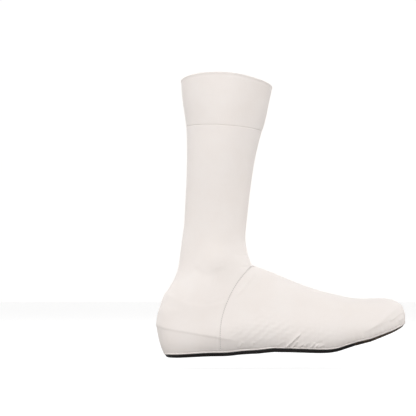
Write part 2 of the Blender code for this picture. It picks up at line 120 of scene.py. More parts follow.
bpy.ops.mesh.primitive_circle_add(
    vertices=96, radius=FLOOR_RADIUS, fill_type="NGON", location=(0.0, 0.0, FLOOR_HEIGHT)
)
floor = bpy.context.object
floor.name = "studio_floor"
floor.visible_diffuse = False
floor_paper = bpy.data.materials.new("floor_paper")
floor_paper.use_nodes = True
tree = floor_paper.node_tree
paper = tree.nodes["Principled BSDF"]
paper.inputs["Base Color"].default_value = FLOOR_GREY
paper.inputs["Roughness"].default_value = 0.9
paper.inputs["Specular IOR Level"].default_value = 0.1
paper.inputs["Emission Color"].default_value = (1.0, 1.0, 1.0, 1.0)
to_camera = tree.nodes.new("ShaderNodeLightPath")
lit = tree.nodes.new("ShaderNodeMath")
lit.operation = "MULTIPLY"
tree.links.new(to_camera.outputs["Is Camera Ray"], lit.inputs[0])
lit.inputs[1].default_value = FLOOR_GLOW
tree.links.new(lit.outputs[0], paper.inputs["Emission Strength"])
floor.data.materials.append(floor_paper)
floor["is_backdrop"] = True


def ramp(tree, given, stops):
    """A colour ramp over a value, from stops that each have a place and a colour."""
    node = tree.nodes.new("ShaderNodeValToRGB")
    tree.links.new(given, node.inputs["Fac"])
    elements = node.color_ramp.elements
    for place, _ in stops[1:-1]:
        elements.new(place)
    for element, (_, colour) in zip(elements, stops):
        element.color = (*colour, 1.0)
    return node.outputs["Color"]


air = bpy.data.worlds.new("studio_air")
bpy.context.scene.world = air
air.use_nodes = True
tree = air.node_tree
glow = tree.nodes["Background"]
look = tree.nodes.new("ShaderNodeTexCoord")
up = tree.nodes.new("ShaderNodeSeparateXYZ")
tree.links.new(look.outputs["Generated"], up.inputs[0])
rise = tree.nodes.new("ShaderNodeMapRange")
tree.links.new(up.outputs["Z"], rise.inputs["Value"])
rise.inputs["From Min"].default_value = -1.0
whole = tree.nodes.new("ShaderNodeMath")
whole.operation = "MULTIPLY"
tree.links.new(ramp(tree, rise.outputs[0], ROOM_BANDS), whole.inputs[0])
whole.inputs[1].default_value = ROOM_LIGHT
path = tree.nodes.new("ShaderNodeLightPath")
seen = tree.nodes.new("ShaderNodeMix")
tree.links.new(path.outputs["Is Camera Ray"], seen.inputs["Factor"])
tree.links.new(whole.outputs[0], seen.inputs["A"])
seen.inputs["B"].default_value = BACKDROP_LIGHT
tree.links.new(seen.outputs["Result"], glow.inputs["Strength"])
glow.inputs["Color"].default_value = ROOM_COLOUR
bpy.context.scene.view_settings.view_transform = "Standard"

for name, place, size, power in LIGHTS:
    bpy.ops.object.light_add(type="AREA", location=place)
    light = bpy.context.object
    light.name = name
    light.data.shape = "DISK"
    light.data.size = size
    light.data.energy = power
    light.data.color = LIGHT_COLOUR
    light.rotation_euler = (Vector(LIGHT_AIM) - Vector(place)).to_track_quat("-Z", "Y").to_euler()


# The cuff band: the stretch cloth turned over and bonded on itself, 57 mm tall round the calf. It is twice as
# thick as the leg below, and its top edge is a soft fold that dips and rises a little round the leg.

# the middle line of the leg and that of the foot in the side view, x and z
LEG_CORE = (
    (0.0160, 0.345), (0.0085, 0.260), (0.0045, 0.200), (0.0010, 0.150), (-0.0020, 0.115), (-0.0080, 0.075),
)
FOOT_CORE = ((-0.0300, 0.0360), (0.0600, 0.0300), (0.1200, 0.0280), (0.1950, 0.0370))
CORE_POWER = 6
CHUNK = 20000
MERGE = 0.00001
SHARP = math.radians(50.0)
# the soft fold along the cuff's top edge, and the shallow line below it: height, drop below the edge, width
CUFF_EDGE_ROUNDS = ((0.00035, 0.0011, 0.0010), (-0.00018, 0.0034, 0.0009))
CUFF_EDGE_SLOTS = 48
# how far the knit's loops lean with its ribs, and how deep they are beside them
LOOP_SLANT = 1.6
LOOP_SHARE = 0.5
WHITE_IN_SLACK = (0.862, 0.798, 0.757)
WHITE_DRAWN = (0.888, 0.833, 0.799)
# x, z, slope in degrees, half length, half width, height, side (-1 inner, 1 outer, 0 both), in millimetres
CALF_SWELLS = ((64.0, 280.0, 80.0, 17.0, 12.0, 1.30, 0),)
# over which width a form fades that only one side of the foot has
SIDE_BLEND = 0.012

heights = np.arange(0.345, 0.045, -0.010)
leg_x, leg_z = np.array(LEG_CORE)[::-1].T
lengths = np.arange(-0.030, 0.196, 0.0090)
foot_x, foot_z = np.array(FOOT_CORE).T
core = np.concatenate([
    np.stack([np.interp(heights, leg_z, leg_x), 0.0 * heights, heights], axis=-1),
    np.stack([lengths, 0.0 * lengths, np.interp(lengths, foot_x, foot_z)], axis=-1),
])


def outward(points):
    """Unit directions from the core of the leg and foot out to points. The nearest of it weighs most."""
    ways = np.zeros_like(points)
    for start in range(0, len(points), CHUNK):
        gaps = points[start:start + CHUNK, None, :] - core[None, :, :]
        reach = np.linalg.norm(gaps, axis=2, keepdims=True)
        ways[start:start + CHUNK] = (gaps / reach**CORE_POWER).sum(axis=1)
    return ways / np.linalg.norm(ways, axis=1, keepdims=True)


def points_of(piece):
    """A piece's points as an array."""
    flat = np.empty(3 * len(piece.data.vertices))
    piece.data.vertices.foreach_get("co", flat)
    return flat.reshape(-1, 3)


def place_points(piece, points):
    """Moves a piece's points."""
    piece.data.vertices.foreach_set("co", points.ravel())
    piece.data.update()


def outer_faces(piece):
    """Which faces of a wall are its outer side, and the middles of all."""
    count = len(piece.data.polygons)
    middles, normals = np.empty(3 * count), np.empty(3 * count)
    piece.data.polygons.foreach_get("center", middles)
    piece.data.polygons.foreach_get("normal", normals)
    middles, normals = middles.reshape(-1, 3), normals.reshape(-1, 3)
    return (normals * outward(middles)).sum(axis=1) > 0.3, middles


def choose(piece, faces=None, edges=None):
    """Selects faces or edges of a piece, and nothing else, for its edit mode."""
    mesh = piece.data
    mesh.vertices.foreach_set("select", np.zeros(len(mesh.vertices), bool))
    mesh.edges.foreach_set("select", np.zeros(len(mesh.edges), bool) if edges is None else edges)
    mesh.polygons.foreach_set("select", np.zeros(len(mesh.polygons), bool) if faces is None else faces)
    bpy.context.tool_settings.mesh_select_mode = (False, faces is None, faces is not None)
    bpy.ops.object.mode_set(mode="EDIT")


def fine_wall(node, name, rim_round, levels, slit=False, grain=None):
    """A copy of a CAD wall in clean quads, with round rims and a fine mesh. Where the axis that its grain
    follows is given, it also has its flat pattern, slit down the back of a closed ring."""
    bpy.ops.object.select_all(action="DESELECT")
    piece = bpy.data.objects.new(name, frame["nodes"][node].data.copy())
    bpy.context.collection.objects.link(piece)
    piece.select_set(True)
    bpy.context.view_layer.objects.active = piece
    bpy.ops.mesh.customdata_custom_splitnormals_clear()
    bpy.ops.object.mode_set(mode="EDIT")
    bpy.ops.mesh.select_all(action="SELECT")
    bpy.ops.mesh.remove_doubles(threshold=MERGE)
    bpy.ops.mesh.tris_convert_to_quads(
        face_threshold=math.pi, shape_threshold=math.pi, topology_influence=1.5
    )
    bpy.ops.object.mode_set(mode="OBJECT")
    if grain is not None:
        piece.data.uv_layers.new(name="cloth")
        if slit:
            ends = np.empty(2 * len(piece.data.edges), int)
            piece.data.edges.foreach_get("vertices", ends)
            places = points_of(piece)[ends.reshape(-1, 2)]
            behind = (np.abs(places[:, :, 1]) < 0.002) & (places[:, :, 0] < 0.0)
            choose(piece, edges=behind.all(axis=1))
            bpy.ops.mesh.mark_seam(clear=False)
            bpy.ops.object.mode_set(mode="OBJECT")
        choose(piece)
        bpy.ops.mesh.edges_select_sharp(sharpness=SHARP)
        bpy.ops.mesh.mark_seam(clear=False)
        bpy.ops.mesh.select_all(action="SELECT")
        bpy.ops.uv.unwrap(method="ANGLE_BASED", margin=0.0)
        bpy.ops.object.mode_set(mode="OBJECT")
    choose(piece)
    bpy.ops.mesh.edges_select_sharp(sharpness=SHARP)
    bpy.ops.mesh.bevel(offset=rim_round, segments=2, profile=0.5, affect="EDGES")
    bpy.ops.object.mode_set(mode="OBJECT")
    smooth = piece.modifiers.new("smooth", "SUBSURF")
    smooth.levels = smooth.render_levels = levels
    bpy.ops.object.modifier_apply(modifier=smooth.name)
    bpy.ops.object.shade_smooth()
    if grain is not None:
        true_to_size(piece, grain)
    return piece


def true_to_size(piece, grain):
    """Turns and scales a flat pattern until it is in metres, with its second axis along the cloth's grain."""
    mesh = piece.data
    outer, _ = outer_faces(piece)
    sizes = np.empty(len(mesh.polygons))
    mesh.polygons.foreach_get("area", sizes)
    counts = np.empty(len(mesh.polygons), int)
    mesh.polygons.foreach_get("loop_total", counts)
    corners = np.empty(len(mesh.loops), int)
    mesh.loops.foreach_get("vertex_index", corners)
    flat = np.empty(2 * len(mesh.loops))
    mesh.uv_layers["cloth"].data.foreach_get("uv", flat)
    flat = flat.reshape(-1, 2)
    quads = np.flatnonzero(outer & (counts == 4))
    starts = np.concatenate([[0], np.cumsum(counts)[:-1]])[quads]
    a, b, c, d = (flat[starts + corner] for corner in range(4))
    spans = np.abs((c - a)[:, 0] * (d - b)[:, 1] - (c - a)[:, 1] * (d - b)[:, 0]) / 2.0
    scale = math.sqrt(sizes[quads].sum() / spans.sum())
    chosen = (starts[:, None] + np.arange(4)).ravel()
    known = np.column_stack([flat[chosen], np.ones(len(chosen))])
    (u, v, _), *_ = np.linalg.lstsq(known, points_of(piece)[corners[chosen], grain], rcond=None)
    turn = np.array([[v, u], [-u, v]]) / math.hypot(u, v)
    mesh.uv_layers["cloth"].data.foreach_set("uv", (flat @ turn * scale).ravel())


def dress(piece, material):
    """Gives a piece one material in place of what it has."""
    piece.data.materials.clear()
    piece.data.materials.append(material)


def value(tree, kind, *inputs, **settings):
    """A node with its settings and its inputs, each a number or a socket."""
    node = tree.nodes.new(kind)
    for key, setting in settings.items():
        setattr(node, key, setting)
    for slot, given in zip(node.inputs, inputs):
        if given is None:
            continue
        if isinstance(given, bpy.types.NodeSocket):
            tree.links.new(given, slot)
        else:
            slot.default_value = given
    return node


def noise(tree, where, scale, detail, roughness):
    """A noise texture's value."""
    return value(tree, "ShaderNodeTexNoise", where, None, scale, detail, roughness).outputs[0]


def spread(tree, given, low, high, new_low, new_high):
    """A value's range from low to high, spread over another range and held inside it."""
    return value(tree, "ShaderNodeMapRange", given, low, high, new_low, new_high).outputs[0]


def blend(tree, share, first, second):
    """The colour at a share of the way from the first to the second."""
    mix = tree.nodes.new("ShaderNodeMix")
    mix.data_type = "RGBA"
    tree.links.new(share, mix.inputs["Factor"])
    mix.inputs["A"].default_value = (*first, 1.0)
    mix.inputs["B"].default_value = (*second, 1.0)
    return mix.outputs["Result"]


def scaled(tree, colour, share):
    """A colour times a value."""
    node = value(tree, "ShaderNodeVectorMath", colour, operation="SCALE")
    tree.links.new(share, node.inputs["Scale"])
    return node.outputs[0]


def bumped(tree, height, strength, distance, normal=None, invert=False):
    """The normal that a height gives to a surface."""
    return value(tree, "ShaderNodeBump", strength, distance, None, height, normal, invert=invert).outputs[0]


def plain_material(name, constants):
    """A material, its node tree, its shader's inputs with the constants set, and its object coordinates."""
    material = bpy.data.materials.new(name)
    material.use_nodes = True
    tree = material.node_tree
    surface = tree.nodes["Principled BSDF"].inputs
    for label, setting in constants.items():
        surface[label].default_value = setting
    return material, tree, surface, tree.nodes.new("ShaderNodeTexCoord").outputs["Object"]


def effect(name, takes, gives):
    """An effect for several materials to share: a node group with named inputs and outputs, still empty."""
    group = bpy.data.node_groups.new(name, "ShaderNodeTree")
    for label, kind in takes:
        group.interface.new_socket(name=label, in_out="INPUT", socket_type=kind)
    for label in gives:
        group.interface.new_socket(name=label, in_out="OUTPUT", socket_type="NodeSocketFloat")
    return group, group.nodes.new("NodeGroupInput"), group.nodes.new("NodeGroupOutput")


# stretch knit, shared by the white pieces: fine ribs along the cloth, and their slanting loops across
knit, enter, leave = effect(
    "stretch_knit",
    (("Vector", "NodeSocketVector"), ("Rib", "NodeSocketFloat"), ("Course", "NodeSocketFloat")), ("Height",),
)
place = value(knit, "ShaderNodeSeparateXYZ", enter.outputs["Vector"])
ribs = value(knit, "ShaderNodeMath", place.outputs["X"], enter.outputs["Rib"], operation="DIVIDE")
courses = value(knit, "ShaderNodeMath", place.outputs["Y"], enter.outputs["Course"], operation="DIVIDE")
rib_turn = value(knit, "ShaderNodeMath", ribs.outputs[0], 2.0 * math.pi, operation="MULTIPLY")
course_turn = value(knit, "ShaderNodeMath", courses.outputs[0], 2.0 * math.pi, operation="MULTIPLY")
rib_wave = value(knit, "ShaderNodeMath", rib_turn.outputs[0], operation="SINE")
slant = value(
    knit, "ShaderNodeMath", rib_wave.outputs[0], LOOP_SLANT, course_turn.outputs[0], operation="MULTIPLY_ADD"
)
course_wave = value(knit, "ShaderNodeMath", slant.outputs[0], operation="SINE")
loops = value(
    knit, "ShaderNodeMath", course_wave.outputs[0], LOOP_SHARE, rib_wave.outputs[0], operation="MULTIPLY_ADD"
)
knit.links.new(loops.outputs[0], leave.inputs["Height"])

# how the white cloth varies: where it is slack or drawn, how its fibres stand, and a painted shade that darkens
# its lowest part
variation, enter, leave = effect(
    "slack_fuzz_and_painted_shade", (("Place", "NodeSocketVector"),), ("Slack", "Fuzz", "Painted_low_shade")
)
slack = noise(variation, enter.outputs["Place"], scale=22.0, detail=3.0, roughness=0.55)
fuzz = noise(variation, enter.outputs["Place"], scale=1400.0, detail=2.0, roughness=0.5)
height = value(variation, "ShaderNodeSeparateXYZ", enter.outputs["Place"]).outputs["Z"]
variation.links.new(slack, leave.inputs["Slack"])
variation.links.new(fuzz, leave.inputs["Fuzz"])
# painted shade: the cloth's colour is darkened towards the hem, down to 0.965 of it at the lowest
variation.links.new(spread(variation, height, 0.004, 0.030, 0.965, 1.0), leave.inputs["Painted_low_shade"])


def white_cloth(name, rib, course, loop_depth, slack_depth, rough):
    """White stretch knit: a slightly warm white with soft slack, fine ribs and a faint sheen."""
    material, tree, surface, where = plain_material(
        name, {"Sheen Weight": 0.25, "Sheen Roughness": 0.45, "Specular IOR Level": 0.25}
    )
    flat = value(tree, "ShaderNodeUVMap", uv_map="cloth").outputs["UV"]
    loops = value(tree, "ShaderNodeGroup", flat, rib, course, node_tree=knit).outputs["Height"]
    slack, fuzz, low_shade = value(tree, "ShaderNodeGroup", where, node_tree=variation).outputs
    colour = blend(tree, spread(tree, slack, 0.3, 0.7, 0.0, 1.0), WHITE_IN_SLACK, WHITE_DRAWN)
    # painted shade: the bottoms of the loops are a little darker, and so is the lowest cloth near the hem
    depth = spread(tree, loops, -1.5, 0.5, 0.955, 1.0)
    shade = value(tree, "ShaderNodeMath", depth, low_shade, operation="MULTIPLY").outputs[0]
    tree.links.new(scaled(tree, colour, shade), surface["Base Color"])
    tree.links.new(spread(tree, fuzz, 0.3, 0.7, *rough), surface["Roughness"])
    fine = bumped(tree, loops, 0.35, loop_depth)
    tree.links.new(bumped(tree, slack, 0.30, slack_depth, fine), surface["Normal"])
    return material


def side_share(points, side):
    """How far points belong to one side of the foot, with a soft change over its middle plane."""
    return np.clip(0.5 + side * points[:, 1] / SIDE_BLEND, 0.0, 1.0) if side else 1.0


def swell_heights(points, swells):
    """The heights at points of a table of soft swells and hollows."""
    total = np.zeros(len(points))
    for x, z, slope, half_length, half_width, height, side in swells:
        c, s = math.cos(math.radians(slope)), math.sin(math.radians(slope))
        u = ((points[:, 0] - x * 0.001) * c + (points[:, 2] - z * 0.001) * s) / (half_length * 0.001)
        v = ((points[:, 2] - z * 0.001) * c - (points[:, 0] - x * 0.001) * s) / (half_width * 0.001)
        total += height * 0.001 * np.exp(-u**2 - v**2) * side_share(points, side)
    return total


cuff = fine_wall("cuff_band", "cuff_band_cloth", rim_round=0.0006, levels=3, slit=True, grain=2)

# the top fold is a little fuller than the band below it, and a shallow line shows where the turned cloth ends
points = points_of(cuff)
turns = np.arctan2(points[:, 1], points[:, 0] - np.interp(points[:, 2], leg_z, leg_x))
slots = ((turns + math.pi) / (2.0 * math.pi) * CUFF_EDGE_SLOTS).astype(int) % CUFF_EDGE_SLOTS
tops = np.array([points[slots == slot, 2].max() for slot in range(CUFF_EDGE_SLOTS)])
centres = (np.arange(CUFF_EDGE_SLOTS) + 0.5) / CUFF_EDGE_SLOTS * 2.0 * math.pi - math.pi
centres = np.concatenate([centres - 2.0 * math.pi, centres, centres + 2.0 * math.pi])
drop = np.interp(turns, centres, np.tile(tops, 3)) - points[:, 2]
relief = swell_heights(points, CALF_SWELLS)
for height, low, width in CUFF_EDGE_ROUNDS:
    relief += height * np.exp(-((drop - low) / width) ** 2)
place_points(cuff, points + relief[:, None] * outward(points))
dress(cuff, white_cloth(
    "doubled_band_cloth", rib=0.0009, course=0.0007, loop_depth=0.00006, slack_depth=0.0010,
    rough=(0.64, 0.78),
))
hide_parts("cuff_band")
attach(cuff, "root")


# The leg and heel: one piece of the same cloth, drawn tight over the ankle, over two low ridges at the heel,
# and down to the hem. Its creases stand where the cloth is slack, in front of the ankle and beside the heel.

# each line: height, width above, width below, roundness, fade at the ends, side of the foot, and its places
# x z in the side view, all in millimetres
FOOT_LINES = (
    (1.10, 10.0, 4.0, 0.8, 24.0, 0, ((-90.0, 38.6), (-66.4, 35.4), (-57.6, 33.6), (-42.4, 30.9), (-31.5, 29.3),
     (-16.1, 26.5), (1.5, 23.8), (8.0, 22.1), (19.0, 20.5), (30.0, 18.2))),
    (-0.25, 0.8, 3.0, 0.5, 20.0, 0, ((-90.0, 36.4), (-66.4, 33.2), (-57.6, 31.4), (-42.4, 28.7), (-31.5, 27.1),
     (-16.1, 24.3), (1.5, 21.6), (8.0, 19.9), (19.0, 18.3), (24.0, 17.2))),
    (1.10, 14.0, 12.0, 6.0, 24.0, 0, ((-20.0, 36.0), (20.0, 37.0), (60.0, 40.0), (100.0, 38.0), (140.0, 39.0),
     (175.0, 45.0))),
    (0.45, 1.6, 6.0, 0.7, 10.0, 0, ((-56.8, 72.4), (-48.1, 69.1), (-39.0, 63.8), (-32.6, 60.5), (-22.7, 58.8),
     (-13.9, 57.4), (-5.1, 58.2), (8.1, 61.5), (20.0, 66.0))),
    (0.75, 2.5, 6.0, 0.8, 10.0, 0, ((-90.0, 84.0), (-63.1, 74.4), (-56.8, 72.4), (-44.0, 68.0))),
    (0.35, 1.3, 3.0, 0.7, 6.0, -1, ((-10.7, 63.3), (1.5, 66.5), (15.7, 71.5))),
)
LEG_LINES = (
    (0.40, 1.3, 2.0, 0.6, 3.0, -1, ((-74.0, 45.5), (-66.3, 51.4), (-61.4, 54.9), (-54.8, 60.4))),
    (0.30, 2.0, 3.0, 1.2, 5.0, -1, ((-64.0, 50.0), (-54.3, 52.4), (-36.0, 52.7))),
    (-0.35, 1.0, 1.4, 0.6, 5.0, 0, ((23.0, 118.2), (29.0, 118.8), (39.5, 119.3), (52.0, 120.0))),
    (-0.80, 1.2, 1.6, 0.6, 5.0, 0, ((30.0, 103.4), (35.7, 104.6), (45.0, 107.3), (58.0, 111.0))),
    (-0.66, 2.2, 6.0, 2.4, 6.0, -1, ((-25.0, 105.0), (-21.0, 101.0), (-16.0, 97.0), (-8.0, 94.4), (0.0, 95.6))),
    (-0.36, 2.6, 5.5, 2.6, 8.0, -1, ((-8.0, 94.4), (1.5, 96.6), (9.0, 99.2), (18.0, 102.4))),
    (0.30, 3.0, 1.0, 0.9, 4.0, -1, ((-4.0, 100.5), (1.5, 103.0), (12.0, 106.0))),
    # the seam's allowance shows through beside its lower end
    (-0.28, 0.7, 0.7, 0.5, 6.0, 0, ((4.2, 30.0), (4.5, 17.9), (5.3, 4.8), (5.4, 0.0))),
    (-0.45, 1.6, 4.4, 1.4, 6.0, 1, ((-30.0, 95.0), (-24.0, 90.0), (-15.0, 86.4), (-5.0, 87.0), (6.0, 91.5))),
)
LEG_SWELLS = (
    (3.6, 113.0, 0.0, 11.0, 9.0, 0.50, -1),
    (-7.0, 102.0, 0.0, 12.0, 10.0, 0.70, 1),
    (40.5, 121.0, 78.0, 12.0, 7.0, 1.20, 0),
    (-52.0, 20.0, 80.0, 16.0, 8.0, 0.80, 0),
    (-57.0, 50.0, 80.0, 14.0, 7.0, 0.60, 0),
)
# how far the elastic hem is drawn up and under the foot: x, lift, tuck, in millimetres
HEM_EASE = np.array((
    (-66.0, 0.0, 0.0), (-51.5, 0.2, 0.8), (-42.0, 0.5, 1.4), (-33.0, 1.0, 2.0), (-23.5, 1.5, 2.8),
    (-14.0, 1.9, 3.8), (-5.0, 2.0, 4.8), (4.5, 1.6, 5.6), (14.0, 1.2, 6.4), (23.0, 1.4, 7.0),
    (32.5, 1.8, 7.4), (42.0, 1.7, 7.6), (51.0, 1.4, 7.6), (60.0, 1.7, 7.4), (70.0, 2.3, 7.1),
    (79.0, 2.1, 6.8), (88.0, 2.3, 6.5), (107.0, 2.4, 6.0), (126.0, 2.1, 5.4), (135.0, 2.1, 5.0),
    (144.0, 2.6, 4.6), (153.5, 3.5, 4.2), (163.0, 3.8, 3.8), (172.0, 3.4, 3.4), (181.5, 3.0, 2.8),
    (191.0, 3.6, 2.2), (200.0, 3.6, 1.6), (209.5, 3.1, 0.8), (226.0, 2.4, 0.0),
))
# how high above the hem the cloth still follows it, and how far from the middle plane it moves in full
HEM_REACH = 0.032
HEM_HALF_WIDTH = 0.030
# how far apart neighbours in one ring of the roll are at most
RING_REACH = 0.0026
# the heights between which the outer faces are divided, first for all the creases, then for the finest
LEG_DIVIDED = ((-0.010, 0.135), (0.017, 0.042))
# the gap between two pieces, what is left of it once they are sewn, and how far the pull reaches
OPEN_GAP = 0.0004
SEWN_GAP = 0.00005
GAP_REACH = 0.003


def ring_middles_of(node):
    """The middles of a long roll's small rings, in no order."""
    corners = np.array([corner.co[:] for corner in frame["nodes"][node].data.vertices])
    near = KDTree(len(corners))
    for index, corner in enumerate(corners):
        near.insert(corner, index)
    near.balance()
    ring_of = np.full(len(corners), -1)
    rings = 0
    for index in range(len(corners)):
        if ring_of[index] < 0:
            waiting = [index]
            ring_of[index] = rings
            while waiting:
                for _, found, _ in near.find_range(corners[waiting.pop()], RING_REACH):
                    if ring_of[found] < 0:
                        ring_of[found] = rings
                        waiting.append(found)
            rings += 1
    return np.array([
        np.unique(corners[ring_of == ring].round(6), axis=0).mean(axis=0) for ring in range(rings)
    ])


hem_middles = ring_middles_of("hem_binding")
hem_line = hem_middles[np.argsort(hem_middles[:, 0])]


def eased(points):
    """Points of the foot, with the hem drawn up and under it."""
    lift, tuck = (
        np.interp(points[:, 0] * 1000.0, HEM_EASE[:, 0], HEM_EASE[:, column]) * 0.001 for column in (1, 2)
    )
    above = (points[:, 2] - np.interp(points[:, 0], hem_line[:, 0], hem_line[:, 2])) / HEM_REACH
    share = (1.0 - np.clip(above, 0.0, 1.0)) ** 2
    inward = np.sign(points[:, 1]) * np.clip(np.abs(points[:, 1]) / HEM_HALF_WIDTH, 0.0, 1.0)
    moved = points.copy()
    moved[:, 2] += lift * share
    moved[:, 1] -= tuck * share * inward
    return moved


def drawn_heights(points, lines):
    """The heights at points of a table of lines drawn on the side view."""
    total = np.zeros(len(points))
    for height, above, below, roundness, fade, side, places in lines:
        places = np.array(places) * 0.001
        gap = np.full(len(points), 1.0)
        left = np.zeros(len(points), bool)
        along = np.zeros(len(points))
        start = 0.0
        for a, b in zip(places[:-1], places[1:]):
            run = b - a
            length = math.hypot(*run)
            from_x, from_z = points[:, 0] - a[0], points[:, 2] - a[1]
            share = np.clip((from_x * run[0] + from_z * run[1]) / length**2, 0.0, 1.0)
            off_x, off_z = from_x - share * run[0], from_z - share * run[1]
            off = np.hypot(off_x, off_z)
            closer = off < gap
            gap[closer] = off[closer]
            left[closer] = (run[0] * off_z - run[1] * off_x)[closer] > 0.0
            along[closer] = (start + share * length)[closer]
            start += length
        ends = np.clip(np.minimum(along, start - along) / (fade * 0.001), 0.0, 1.0)
        width = np.where(left, above, below) * 0.001
        round_top = roundness * 0.001
        profile = np.exp((round_top - np.sqrt(gap**2 + round_top**2)) / width)
        total += height * 0.001 * profile * ends**2 * (3.0 - 2.0 * ends) * side_share(points, side)
    return total


def divide_outside(piece, low, high, inner_side=False):
    """Divides the outer faces between two heights, and eases the new points into the curve."""
    outer, middles = outer_faces(piece)
    if inner_side:
        outer &= middles[:, 1] < 0.004
    choose(piece, faces=outer & (middles[:, 2] > low) & (middles[:, 2] < high))
    bpy.ops.mesh.subdivide(number_cuts=1)
    bpy.ops.mesh.select_less()
    bpy.ops.mesh.vertices_smooth(factor=0.5, repeat=4)
    bpy.ops.object.mode_set(mode="OBJECT")


def draw_together(first, second):
    """Moves the facing rims of two pieces towards each other, as sewing them does."""
    moved = []
    for piece, other in ((first, second), (second, first)):
        tree = BVHTree.FromObject(other, bpy.context.evaluated_depsgraph_get())
        points = points_of(piece)
        box = np.array(other.bound_box)
        near = ((points > box.min(axis=0) - GAP_REACH) & (points < box.max(axis=0) + GAP_REACH)).all(axis=1)
        for index in np.flatnonzero(near):
            place, _, _, off = tree.find_nearest(Vector(points[index]), GAP_REACH)
            if place is not None and off > 1e-6:
                pull = (OPEN_GAP - SEWN_GAP) / 2.0 * (1.0 - max(off - OPEN_GAP, 0.0) / GAP_REACH) ** 2
                points[index] += (np.array(place) - points[index]) / off * min(pull, off / 2.0)
        moved.append(points)
    place_points(first, moved[0])
    place_points(second, moved[1])


panel_cloth = white_cloth(
    "white_stretch_cloth", rib=0.0009, course=0.0007, loop_depth=0.00006, slack_depth=0.0012,
    rough=(0.66, 0.80),
)
leg = fine_wall("leg_heel_panel", "leg_heel_cloth", rim_round=0.00035, levels=2, slit=True, grain=2)
for low, high in LEG_DIVIDED:
    divide_outside(leg, low, high)
points = eased(points_of(leg))
relief = drawn_heights(points, FOOT_LINES + LEG_LINES) + swell_heights(points, LEG_SWELLS + CALF_SWELLS)
place_points(leg, points + relief[:, None] * outward(points))
draw_together(cuff, leg)
dress(leg, panel_cloth)
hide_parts("leg_heel_panel")
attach(leg, "root")


# The vamp: one piece of the cloth over the instep, the ball and the toe. The pull of the arch draws it into
# slanting ripples, the hem gathers it beside the ball, and it bridges the hollow above the toe's edge.
VAMP_LINES = (
    (0.80, 2.5, 0.9, 0.5, 8.0, 0, ((24.0, 67.5), (27.9, 72.4), (34.5, 79.0), (44.4, 92.3), (50.5, 103.9))),
    # the sharp crease beside the arch, and the gathers along the hem
    (1.35, 0.75, 1.6, 0.35, 6.0, -1, ((79.5, 7.4), (83.6, 11.3), (97.4, 24.6), (101.6, 28.2))),
    (-0.35, 0.8, 1.2, 0.5, 4.0, -1, ((86.6, 8.4), (90.0, 12.0), (99.0, 22.6), (102.0, 26.0))),
    (0.80, 0.9, 0.9, 0.5, 2.0, -1, ((89.6, 8.6), (90.8, 10.0), (95.2, 16.6), (97.0, 19.0))),
    (0.60, 0.9, 0.8, 0.5, 2.0, -1, ((96.0, 9.8), (97.4, 11.4), (103.8, 15.0), (105.4, 16.0))),
    (0.60, 0.9, 0.8, 0.5, 2.0, -1, ((103.6, 10.6), (105.0, 12.2), (108.8, 15.8), (110.2, 17.0))),
    (0.95, 0.9, 0.9, 0.4, 2.0, -1, ((109.8, 8.4), (111.3, 10.2), (115.9, 15.2), (117.4, 16.8))),
    (0.85, 0.8, 0.9, 0.4, 2.0, -1, ((114.4, 7.4), (115.8, 9.2), (119.6, 13.4), (122.0, 15.0))),
    (0.60, 0.9, 0.8, 0.5, 2.0, -1, ((120.0, 9.6), (121.6, 11.2), (125.6, 13.6), (128.4, 14.4))),
    (-0.40, 0.7, 0.8, 0.4, 2.0, -1, ((117.0, 14.2), (119.4, 15.8), (123.6, 16.8), (126.0, 17.4))),
    (0.50, 0.9, 0.8, 0.5, 2.0, -1, ((72.0, 11.6), (74.4, 13.6), (80.3, 17.6), (81.5, 18.4))),
    (0.55, 1.2, 0.9, 0.6, 2.0, -1, ((28.5, 9.5), (29.9, 12.4), (32.5, 16.6), (33.5, 18.4))),
    (0.40, 1.3, 1.0, 0.6, 2.0, -1, ((42.5, 9.8), (43.8, 12.4), (46.0, 16.4), (47.0, 18.0))),
    # the outer side is drawn straighter, with fewer ripples
    (0.60, 1.1, 1.0, 0.6, 3.0, 1, ((94.0, 10.0), (97.0, 12.5), (107.0, 20.5))),
    (0.45, 1.0, 1.0, 0.5, 2.5, 1, ((106.0, 9.0), (109.0, 11.5), (117.0, 16.5))),
    (0.40, 1.0, 1.0, 0.5, 2.5, 1, ((34.0, 9.5), (36.0, 13.0), (39.5, 17.0))),
    # the upper edge of the toe, and the creases below it
    (1.10, 6.0, 2.4, 1.2, 12.0, 0, ((172.0, 27.5), (183.0, 34.0), (193.1, 40.2), (200.2, 46.0), (207.5, 51.7),
     (214.7, 56.1), (240.0, 65.2))),
    (0.34, 3.5, 1.0, 0.5, 6.0, 0, ((180.0, 31.0), (184.4, 34.4), (191.5, 37.2), (201.4, 42.2), (206.0, 44.0))),
    (0.85, 3.0, 0.9, 0.4, 4.0, 0, ((203.0, 40.9), (209.4, 44.3), (213.4, 47.3), (219.2, 50.6), (223.5, 52.6))),
    (0.55, 2.5, 0.8, 0.4, 2.0, 0, ((214.8, 41.4), (216.8, 42.3), (221.2, 44.2), (224.0, 45.2))),
    (0.22, 3.0, 1.4, 0.8, 3.0, 0, ((181.0, 25.6), (185.0, 27.6), (194.0, 30.4), (197.0, 31.2))),
)
VAMP_SWELLS = (
    (171.0, 21.6, 60.0, 3.0, 2.2, 0.25, -1),
    (229.0, 44.0, 90.0, 17.0, 10.0, -1.70, 0),
    (62.0, 88.0, -30.0, 14.0, 8.0, 1.20, 1),
    (58.0, 57.0, -25.0, 16.0, 8.0, -0.35, -1),
    (95.0, 60.0, -20.0, 22.0, 9.0, 0.25, -1),
    (150.0, 50.0, 0.0, 22.0, 8.0, -0.20, 0),
)
# the patches of slanting ripples: side, middle and half size of the patch, and its ripples' height, in
# millimetres
RIPPLE_PATCHES = (
    (-1, 62.0, 31.0, 40.0, 15.0, 0.165),
    (-1, 126.0, 31.0, 34.0, 15.0, 0.100),
    (1, 84.0, 28.0, 34.0, 12.0, 0.090),
)
RIPPLE_SLOPE = math.radians(38.0)
